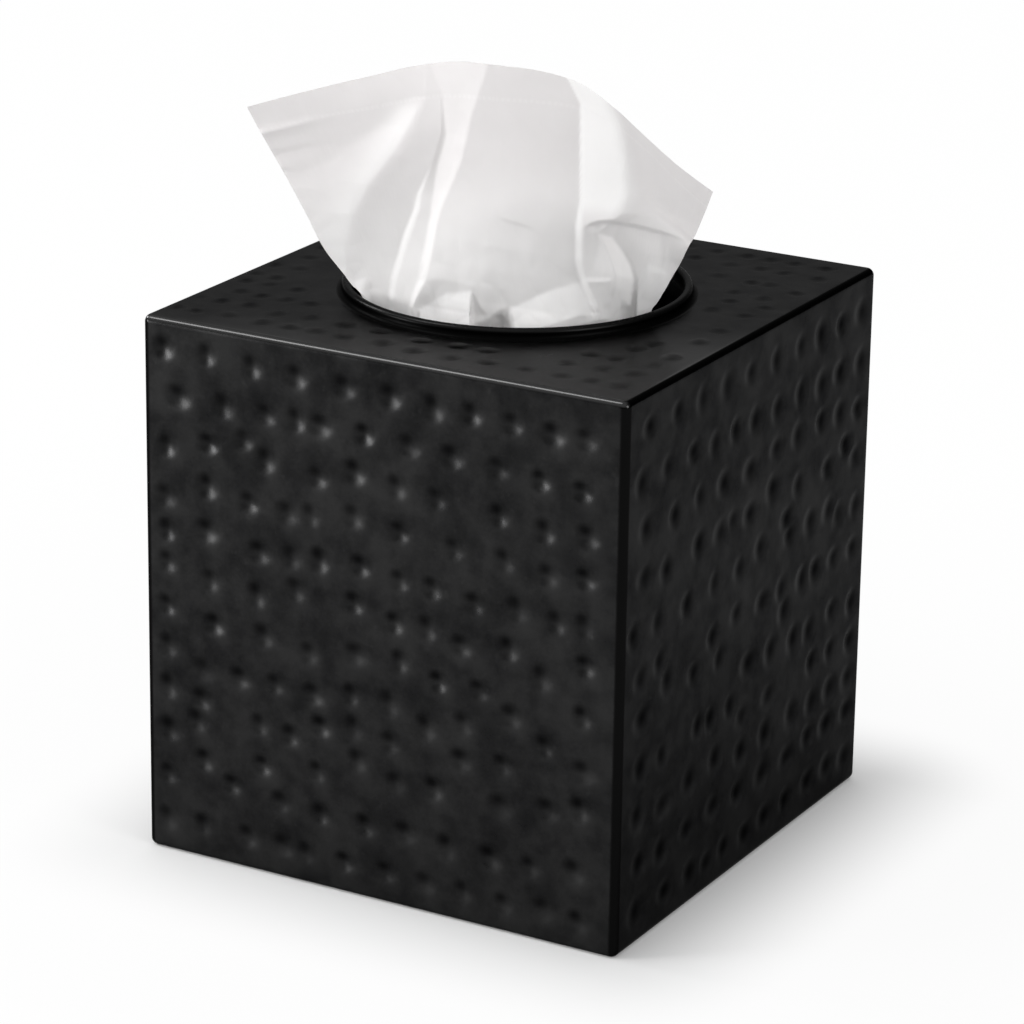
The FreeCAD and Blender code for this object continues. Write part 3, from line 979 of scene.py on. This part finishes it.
# %% The folds: across and up on the plane, and how far out, in millimetres
plane_depth = -27 * MM
fold_lines = {
    "hem": [(-95.4, 201.4, 0.0), (-96.5, 126.6, 0.0)],
    "band valley": [
        (-12.1, 210.8, 0.0), (-15.2, 201.4, 0.0), (-24.0, 192.4, 0.0), (-38.9, 182.5, 0.3),
        (-54.0, 172.4, 0.5), (-60.1, 163.5, 0.0), (-57.1, 155.9, 0.0), (-49.5, 149.0, 0.5),
        (-40.3, 142.4, 0.3),
    ],
    "band crest": [
        (-11.8, 210.8, 0.2), (-12.6, 201.2, 0.6), (-16.6, 193.4, 3.2), (-21.9, 184.9, 5.2),
        (-28.7, 176.1, 6.2), (-33.4, 167.5, 6.0), (-35.8, 159.1, 5.0), (-35.5, 151.2, 3.5),
        (-32.7, 143.6, 1.5),
    ],
    "second foot": [
        (-11.7, 210.8, 0.2), (-7.4, 202.4, 0.4), (-7.9, 192.5, 1.2), (-10.7, 183.8, 1.6),
        (-14.3, 175.8, 1.2), (-15.3, 171.7, 0.6), (-17.6, 165.8, 0.2), (-20.2, 158.0, 0.0),
        (-22.0, 151.9, 0.2), (-23.1, 145.6, 0.4),
    ],
    "second crest": [
        (-11.6, 210.8, 0.2), (-7.2, 202.4, 0.4), (-7.6, 192.6, 1.2), (-10.4, 183.9, 1.6),
        (-13.3, 175.9, 1.9), (-13.8, 171.9, 2.5), (-16.0, 166.1, 2.5), (-18.6, 158.3, 2.4),
        (-20.5, 152.2, 2.3), (-21.8, 145.8, 2.3),
    ],
    "pleat foot": [
        (-11.5, 210.8, 0.2), (-7.0, 198.3, 0.2), (-6.1, 192.8, 0.2), (-8.6, 184.1, 0.4),
        (-9.7, 176.7, 0.8), (-10.3, 170.9, 1.6), (-11.7, 164.1, 2.4), (-13.1, 158.1, 2.8),
        (-14.3, 153.1, 2.9), (-16.0, 148.3, 2.8), (-16.9, 145.5, 2.8),
    ],
    "pleat crest": [
        (6.0, 213.1, 4.4), (3.3, 204.1, 4.4), (0.8, 197.3, 4.4), (-1.4, 187.0, 4.6), (-5.1, 178.1, 4.4),
        (-7.4, 173.4, 4.8), (-8.8, 168.7, 5.2), (-9.9, 163.0, 5.6), (-10.7, 158.4, 5.6),
        (-12.2, 153.4, 5.3), (-14.5, 148.6, 4.8), (-15.7, 145.7, 4.6),
    ],
    "pleat back": [
        (10.6, 213.7, 3.5), (8.2, 203.2, 3.5), (5.0, 187.4, 3.6), (2.2, 179.2, 3.5), (-0.6, 172.3, 4.0),
        (-3.2, 165.4, 4.6), (-5.5, 159.2, 4.8), (-7.2, 154.2, 4.2), (-8.6, 149.5, 1.8),
        (-9.2, 146.8, 0.0),
    ],
    "panel": [
        (17.7, 214.6, 2.3), (18.0, 199.4, 2.3), (16.9, 178.7, 2.3), (15.6, 172.1, 2.3),
        (14.5, 165.4, 2.1), (13.8, 158.8, 0.8), (14.2, 154.4, -0.6), (14.5, 150.5, -2.0),
    ],
    "right foot": [
        (27.0, 215.8, 0.6), (28.5, 211.2, 0.6), (32.0, 205.4, 0.6), (32.5, 181.0, 0.6),
        (31.4, 173.6, 0.6), (31.5, 165.4, 0.2), (32.4, 161.6, -0.6), (34.2, 157.8, -1.2),
        (37.1, 152.8, -1.8),
    ],
    "right line": [
        (27.6, 215.9, 0.8), (29.1, 211.3, 0.8), (32.5, 205.4, 0.8), (33.4, 181.1, 1.4),
        (33.1, 173.9, 2.8), (33.3, 165.7, 2.6), (34.2, 161.9, 2.2), (35.9, 158.0, 2.6),
        (38.8, 153.1, 4.2),
    ],
    "right crest": [
        (37.3, 217.1, 4.6), (39.2, 208.6, 5.2), (43.3, 201.6, 6.6), (45.7, 193.1, 7.6),
        (47.1, 184.4, 7.8), (44.4, 179.2, 7.2), (39.4, 174.8, 5.6), (37.8, 173.2, 5.2),
        (40.1, 170.2, 5.4), (41.9, 166.6, 5.8), (43.1, 163.3, 6.0), (43.2, 159.5, 5.4),
        (42.4, 155.7, 4.2), (41.8, 152.7, 2.8),
    ],
    "right valley": [
        (48.4, 218.5, 3.0), (50.0, 210.0, 3.2), (51.6, 202.7, 4.2), (53.2, 194.1, 4.6),
        (53.4, 185.3, 4.6), (49.4, 179.9, 4.0), (43.9, 175.5, 2.8), (42.0, 172.7, 2.0),
        (44.8, 169.6, 1.2), (47.2, 166.2, 0.6), (48.4, 162.8, 0.6), (48.1, 158.4, 0.4),
        (47.6, 153.7, 0.0),
    ],
    "right edge": [
        (48.6, 218.6, 3.0), (50.2, 210.1, 3.2), (51.8, 202.7, 4.2), (53.5, 194.2, 4.6),
        (53.7, 185.3, 4.6), (49.7, 179.9, 4.0), (44.5, 175.6, 3.0), (42.8, 172.8, 2.4),
        (45.5, 169.7, 1.9), (47.9, 166.3, 1.6), (49.0, 162.8, 1.6), (48.7, 158.4, 1.4),
        (48.2, 153.8, 1.4),
    ],
    "right back": [
        (64.7, 220.6, 0.0), (65.2, 204.6, 0.6), (65.5, 195.9, 1.0), (63.0, 188.0, 1.4),
        (59.4, 179.3, 2.4), (56.8, 174.6, 3.6), (56.8, 170.0, 4.8), (56.4, 165.5, 4.6),
        (55.6, 157.9, 1.6),
    ],
    "far": [(91.4, 225.3, -3.0), (94.1, 157.3, -3.0)],
}
set_backs = [  # edge, how deep, full for, gone after, fade in, fade out
    (  # the pocket on the right
        [
            (33.2, 173.7), (35.5, 175.2), (38.3, 176.3), (41.6, 177.0), (44.5, 177.0), (49.5, 176.8),
            (55.1, 176.4), (62.0, 175.1),
        ],
        3.4, 3.0, 18.0, 5.0, 7.0,
    ),
    ([(8.1, 174.1), (10.7, 172.9), (14.1, 172.5), (17.3, 172.1), (20.8, 171.4)], 0.6, 0.8, 9.0, 6.0, 6.0),
    (  # three creases on the left
        [(-64.4, 185.1), (-57.0, 187.5), (-49.4, 190.3), (-41.9, 193.1), (-35.9, 195.2)],
        -1.9, 0.3, 3.6, 1.0, 24.0,
    ),
    ([(-62.0, 179.6), (-53.9, 182.0), (-46.4, 184.4), (-37.4, 187.2)], 1.3, 0.4, 5.0, 1.0, 20.0),
    ([(-60.8, 177.0), (-54.0, 176.8), (-47.9, 176.7)], 0.9, 0.3, 4.0, 1.0, 10.0),
    ([(33.8, 160.8), (38.1, 161.4), (42.0, 162.2)], -0.5, 0.6, 2.5, 0.6, 0.8),
]
turned_out = [  # upper edge, slope, the fold line where it stops if any, and how softly it ends
    ([(-37.9, 151.1), (-32.8, 150.0), (-27.4, 152.4)], 0.5, None, 4.0),
    ([(-13.6, 145.5), (-5.4, 151.1), (-1.6, 151.8), (2.2, 153.0)], 0.62, None, 0.3),
    ([(11.1, 148.6), (17.1, 152.2), (23.1, 155.8), (33.0, 160.2), (39.2, 161.1)], 0.55, "right line", 1.7),
    ([(48.6, 163.5), (52.0, 167.5), (56.0, 167.0), (61.0, 163.0)], 0.33, None, 2.0),
]
gaps = [  # upper edge, and how deep
    ([(2.8, 142.6), (7.3, 144.8), (10.2, 147.4), (12.5, 148.4), (14.2, 143.6)], 7.0),
    ([(42.4, 151.3), (43.8, 153.6), (44.5, 156.0), (46.5, 155.2), (47.8, 153.6), (48.6, 151.5)], 6.0),
]
# Bands that are painted whiter: partly where the paper lies double, partly as painted light.
doubled_and_painted_light_bands = [  # first and last line, reach before and fade in, reach after, share, lowest, highest
    ("band crest", "band crest", 13.0, 13.0, 0.8, 0.45, 150, 200),
    ("second foot", "second crest", 0.0, 0.6, 0.8, 0.8, 140, 180),
    ("pleat foot", "pleat crest", 0.0, 0.6, 0.8, 0.08, 188, 230),
    ("right foot", "right line", 0.0, 0.6, 0.8, 1.0, 140, 230),
    ("right line", "right crest", 0.0, 0.6, 3.0, 0.9, 177, 230),
]


# %% From fold lines to a relief
def between(value, start, end, fade_in, fade_out):
    """1 from a start to an end, with a soft step inside each of them, and 0 outside."""
    return soft_step(value, start, start + fade_in) * (1 - soft_step(value, end - fade_out, end))


def line_places(upward):
    """Where each fold line is across the plane at each height, and how far it stands out there."""
    lines = [np.array(line)[::-1] for line in fold_lines.values()]
    places = np.maximum.accumulate([np.interp(upward, line[:, 1], line[:, 0]) for line in lines], axis=0)
    return dict(zip(fold_lines, places)), [np.interp(upward, line[:, 1], line[:, 2]) for line in lines]


def below(edge, across, upward):
    """How far each place lies under a drawn edge, and where that edge starts and ends."""
    edge_x, edge_z = np.array(edge).T
    return np.interp(across, edge_x, edge_z) - upward, edge_x[0], edge_x[-1]


def turned_parts(across, upward, places):
    """The slope of each turned out part, how far places lie under its edge, and whether they are in it."""
    for edge, slope, stop, soft in turned_out:
        under, start, end = below(edge, across, upward)
        end = places.get(stop, end)
        yield slope, under, (across > start) * (1 - soft_step(across, end - soft, end))


def stands_out(across, upward):
    """The folds, the set back parts, the turned out feet and the gaps together, in millimetres."""
    furthest_turned = 9
    places, outs = line_places(upward)
    lines = list(places.values())
    out = np.zeros(len(across))
    for left, right, left_out, right_out in zip(lines, lines[1:], outs, outs[1:]):
        t = np.clip((across - left) / np.maximum(right - left, 0.05), 0, 1)
        out = np.where((across >= left) & (across < right), left_out + (right_out - left_out) * t, out)
    for edge, deep, full, gone, fade_in, fade_out in set_backs:
        under, start, end = below(edge, across, upward)
        inside = between(across, start, end, fade_in, fade_out)
        out -= deep * inside * between(under, -0.3, gone, 1.0, gone - full)
    for slope, under, inside in turned_parts(across, upward, places):
        out += slope * np.clip(under, 0, furthest_turned) * inside
    for edge, deep in gaps:
        under, start, end = below(edge, across, upward)
        out -= deep * between(across, start - 0.5, end + 0.3, 1.5, 1.3) * soft_step(under, -2.0, 3.5)
    return out


def doubled_and_painted_light_share(across, upward):
    """Where the paper is painted whiter, from 0 to 1: partly where it lies double, and partly painted light
    on the brightest folds.
    """
    places = line_places(upward)[0]
    turned_share = 0.8
    total = np.zeros(len(across))
    for first, last, before, fade_in, after, share, low, high in doubled_and_painted_light_bands:
        start, end = places[first] - before - 0.4, places[last] + after
        inside = between(across, start, end, fade_in, 2 * after + 0.2)
        total += share * inside * between(upward, low - 1, high + 1, 5, 5)
    for _, under, inside in turned_parts(across, upward, places):
        total += turned_share * inside * soft_step(under, -0.2, 0.8)
    return np.clip(total, 0, 1)


def seen_at(points):
    """Where the camera sees each point on the upright plane, and the line of sight."""
    sight = points - np.array(place)
    on_plane = points + sight * ((plane_depth - points[:, 1]) / sight[:, 1])[:, None]
    return on_plane[:, 0] / MM, on_plane[:, 2] / MM, sight


def relief(points):
    """How far each point stands out toward the camera, in metres, and the way it goes. The folds are
    crisp in the middle of the sheet and gentle toward both of its sides."""
    strength = 0.8
    across, upward, sight = seen_at(points)
    near = ((-0.5, 0.2), (0, 0.6), (0.5, 0.2))
    wide = ((-2.4, 0.15), (-1.2, 0.2), (0, 0.3), (1.2, 0.2), (2.4, 0.15))
    crisp, soft = [
        sum(share * stands_out(across + aside, upward) for aside, share in blur) for blur in (near, wide)
    ]
    left_end, right_start = np.interp(upward, [150, 165, 190, 210], [-30, -25, -13, -11]), 36.0
    gentle = (1 - soft_step(across, left_end - 2, left_end)) * soft_step(upward, 152, 160)
    gentle += soft_step(across, right_start, right_start + 3) * soft_step(upward, 177, 181)
    out = crisp + (soft - crisp) * gentle
    return strength * out * MM, sight / np.linalg.norm(sight, axis=1, keepdims=True)


# %% [markdown]
# Below the rim the sheet narrows to the slit in the film, with a zigzag of small pleats. Under the
# film it is still folded flat: its trailing half lies over the bent clip in thin layers, one under
# the other. The rows simply go on, down the neck and back and forth over the clip, so the whole
# sheet is one piece of its real size.

# %% The cage below the rim
clip_low, clip_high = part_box("tissue_clip")
tail_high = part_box("tissue_tail")[1]
shoulder = 0.7 * clip_high.x / MM
crown = clip_high.z / MM
crown_half = clip_high.x / MM - shoulder


def over_crown(x, offset):
    """The height, in millimetres, of a layer that lies over the clip at a distance from it."""
    radius = shoulder + offset
    beyond = np.maximum(0.0, np.abs(x) - crown_half)
    return crown - shoulder + np.sqrt(radius ** 2 - beyond ** 2)


def curve(knots, count):
    """A smooth curve through rows of knots, sampled evenly along its length."""
    steps = np.linalg.norm(np.diff(knots, axis=0), axis=-1).reshape(len(knots) - 1, -1).mean(1)
    run = np.concatenate([[0], np.cumsum(steps)])
    at = np.interp(np.linspace(0, run[-1], count), run, np.arange(len(knots)))
    last = len(knots) - 1
    i = np.clip(at.astype(int), 0, last - 1)
    t = (at - i).reshape((-1,) + (1,) * (knots.ndim - 1))
    before, start, end, after = [knots[np.clip(i + step, 0, last)] for step in (-1, 0, 1, 2)]
    return 0.5 * (
        2 * start + (end - before) * t + (2 * before - 5 * start + 4 * end - after) * t ** 2
        + (3 * start - before - 3 * end + after) * t ** 3
    )


def neck_rows(across):
    """Rows from the rim down through the slit: narrower and narrower, in small pleats."""
    half_slit, slit_pleat, free_pleat, turns = 29.2, 1.15, 1.6, 15
    rim_row = curve(np.array(fan_cage[-1]), across)
    rim_level = 147.2
    zigzag = np.sin(np.linspace(0, turns * math.pi, across) + 0.6)
    slit = np.stack([half_slit * np.linspace(-1, 1, across), slit_pleat * zigzag, np.zeros(across)], 1)
    rows = []
    for pull, z in (
        (0.03, 143.6), (0.2, 139.6), (0.48, 135.2), (0.76, 131.4), (0.95, 128.7), (1.0, 126.4), (1.0, 123.8),
    ):
        row = rim_row + (slit - rim_row) * pull
        row[:, 2] = z + (rim_row[:, 2] - rim_level) * (1 - pull) * 0.6
        row[:, 1] += (1 - pull) * free_pleat * pull * 4 * zigzag
        rows.append(row)
    return np.array(rows)


def tail_rows(across, layers):
    """Rows that go back and forth over the clip, each layer a little lower than the one before."""
    reach = np.linspace(-1, 1, across) * tail_high.x / MM * 0.985
    stops = (2.6, 3.6, 15.0, 28.0, 40.0, 51.4, 52.4)
    top_offset, thickness = 2.12, 0.62
    rows = []
    for layer in range(layers):
        offset = top_offset - thickness * layer / (layers - 1)
        for y in stops if layer % 2 == 0 else stops[::-1]:
            rows.append(np.stack([reach, np.full(across, y), over_crown(reach, offset)], 1))
    return np.array(rows)


def clear_of_rim(points):
    """Keeps the paper inside the rim's round crest, and above it inside a funnel of 45 degrees."""
    crest = (rim_outer - rim_inner) / 2
    need = crest + 0.5 * MM
    above = np.maximum(points[:, 2] - (rim_top - crest), 0)
    eighth = need * math.sqrt(0.5)
    most = (rim_inner + rim_outer) / 2 - np.sqrt(need ** 2 - np.minimum(above, eighth) ** 2)
    most += np.maximum(above - eighth, 0)
    reach = np.hypot(points[:, 0], points[:, 1])
    out = points.copy()
    out[:, :2] *= (np.minimum(reach, most) / np.maximum(reach, 1e-6))[:, None]
    return out


def run_along(rows, axis):
    """How far each row or column of points lies along the paper, as a mean over the other way."""
    steps = np.linalg.norm(np.diff(rows, axis=axis), axis=2).mean(1 - axis)
    return np.concatenate([[0], np.cumsum(steps)])


def paper_from(name, rows):
    """A grid whose points are moved to the rows, mapped by lengths along the paper."""
    piece, column, row = new_grid(name, rows.shape[1] - 1, rows.shape[0] - 1)
    move_points(piece, rows[row, column])
    corners = np.empty(len(piece.data.loops), dtype=int)
    piece.data.loops.foreach_get("vertex_index", corners)
    chart = np.stack([run_along(rows, 1)[column[corners]], run_along(rows, 0)[row[corners]]], 1)
    piece.data.uv_layers["UVMap"].data.foreach_set("uv", chart.ravel())
    return piece, row


def area_of(piece):
    """The area of all faces, in square millimetres."""
    return sum(face.area for face in piece.data.polygons) / MM ** 2


# %% The finished sheet
def raised_sheet():
    across, upper_rows, tail_layers = 301, 228, 8
    coarse = np.array([curve(np.array(row), across) for row in fan_cage])
    upper = curve(np.concatenate([coarse, neck_rows(across)]), upper_rows)
    rows = np.concatenate([upper, tail_rows(across, tail_layers)]) * MM
    shape = rows[:len(upper)].reshape(-1, 3)
    out, sight = relief(shape)
    out = out * soft_step(shape[:, 2], 0.1375, 0.1425)
    shape = clear_of_rim(shape - sight * out[:, None])
    rows[:len(upper)] = shape.reshape(upper.shape)
    piece, row = paper_from("raised_tissue_sheet", rows)
    co = points_of(piece)
    visible = row < len(upper)
    # Where the paper is painted whiter: double paper and painted light.
    keep(piece, "doubled_and_painted_light", np.where(visible, doubled_and_painted_light_share(*seen_at(co)[:2]), 0))
    rumpled = 0.25 + 0.75 * (1 - soft_step(co[:, 2], 0.150, 0.172))
    weigh(piece, "rumple", np.where(visible, rumpled, 0) * soft_step(co[:, 2], 0.130, 0.148))
    rumples = bpy.data.textures.new("paper_rumples", "CLOUDS")
    rumples.noise_type = "HARD_NOISE"
    rumples.noise_scale = 0.011
    rumples.noise_depth = 1
    modify(
        piece, "DISPLACE", texture=rumples, texture_coords="LOCAL", strength=0.9 * MM, mid_level=0.5,
        direction="NORMAL", vertex_group="rumple",
    )
    piece.vertex_groups.clear()
    only(piece)
    bpy.ops.object.shade_smooth()
    print(f"raised sheet: {len(piece.data.polygons)} faces, {area_of(piece):.0f} mm2 of 213 x 213 mm")
    piece.data.materials.clear()
    piece.data.materials.append(raised_paper)
    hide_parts("raised_tissue", "tissue_tail")
    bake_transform(piece)


raised_sheet()

# %% [markdown]
# ## The clip of tissues
# The refill is a stack of folded sheets, bent over into an upside-down U so that it fits a cube. Its
# layers slide where they bend, so their ends slope. The section is a grid whose rows are layers and
# whose columns run from leg to leg. It is pulled along Y into a solid, and three of every four
# layers are drawn in a little, as in a real stack.

# %% The line of one layer, in millimetres
def along_arch(share, crown_reach, radius, top, leg, foot=0.0):
    """A point of an arch with round shoulders: share runs from the left leg's end to the right one's."""
    bow = radius * math.pi / 2
    side = 1 if share > 0.5 else -1
    run = abs(share - 0.5) * 2 * (crown_reach + bow + leg + foot)
    if run < crown_reach:
        return side * run, top
    run -= crown_reach
    if run < bow:
        angle = run / radius
        return side * (crown_reach + radius * math.sin(angle)), top - radius + radius * math.cos(angle)
    run -= bow
    reach = crown_reach + radius
    if run < leg:
        return side * reach, top - radius - run
    return side * (reach + run - leg), top - radius - leg


def arch(share, offset):
    """The outer layer, or one that lies over it at a distance."""
    leg_end = 0.44 * crown
    return along_arch(share, crown_half, shoulder + offset, crown + offset, crown - shoulder - leg_end)


def inner_arch(share):
    """The gap in the middle of the stack, with its feet turned out."""
    base, gap = clip_low.z / MM, 4.0
    gap_top = crown * (1 - 0.14)
    return along_arch(share, 0.0, gap, gap_top, gap_top - gap - base, foot=8.0)


# %% The bent stack and the next sheet on top of it
def bent_clip():
    across, layers = 96, 36
    y_half = clip_high.y
    piece, column, row = new_grid("folded_clip", across, layers)
    placed = []
    for share, layer in zip(column / across, row):
        depth = layer / layers
        x, z = (np.array(arch(share, 0.0)) * (1 - depth) + np.array(inner_arch(share)) * depth) * MM
        drawn_in = (0.0, 0.35, 0.12, 0.5)[layer % 4] * MM * (0 < layer < layers)
        placed.append((x, -y_half + drawn_in, z))
    move_points(piece, placed)
    only(piece)
    bpy.ops.object.mode_set(mode="EDIT")
    bpy.ops.mesh.select_all(action="SELECT")
    bpy.ops.mesh.extrude_region_move(TRANSFORM_OT_translate={"value": (0, 2 * y_half, 0)})
    bpy.ops.mesh.select_all(action="SELECT")
    bpy.ops.mesh.normals_make_consistent(inside=False)
    bpy.ops.object.mode_set(mode="OBJECT")
    co = points_of(piece)
    co[:, 1] = np.where(co[:, 1] > 0, 2 * y_half - co[:, 1], co[:, 1])
    move_points(piece, co)
    smooth(piece, 30)
    hand_over(piece, "refill", folded_paper, ["tissue_clip"])


def next_sheet():
    """One sheet, folded in two round the clip's front end."""
    across = 121
    y_half = clip_high.y / MM
    rows = [
        [(x, y, z) for x, z in (arch(i / (across - 1), offset) for i in range(across))]
        for y, offset in (
            (y_half - 0.3, 0.42), (y_half - 3, 0.42), (0.0, 0.42), (-y_half + 3, 0.42), (-y_half + 0.4, 0.46),
            (-y_half + 0.1, 0.7), (-y_half + 0.4, 0.94), (-y_half + 3, 0.98), (0.0, 0.98), (y_half - 3, 0.98),
            (y_half - 0.3, 0.98),
        )
    ]
    piece, _ = paper_from("next_tissue_sheet", np.array(rows) * MM)
    only(piece)
    bpy.ops.object.shade_smooth()
    print(f"next sheet: {area_of(piece):.0f} mm2 of 213 x 213 mm")
    hand_over(piece, "refill", folded_paper, ["next_tissue"])


bent_clip()
next_sheet()
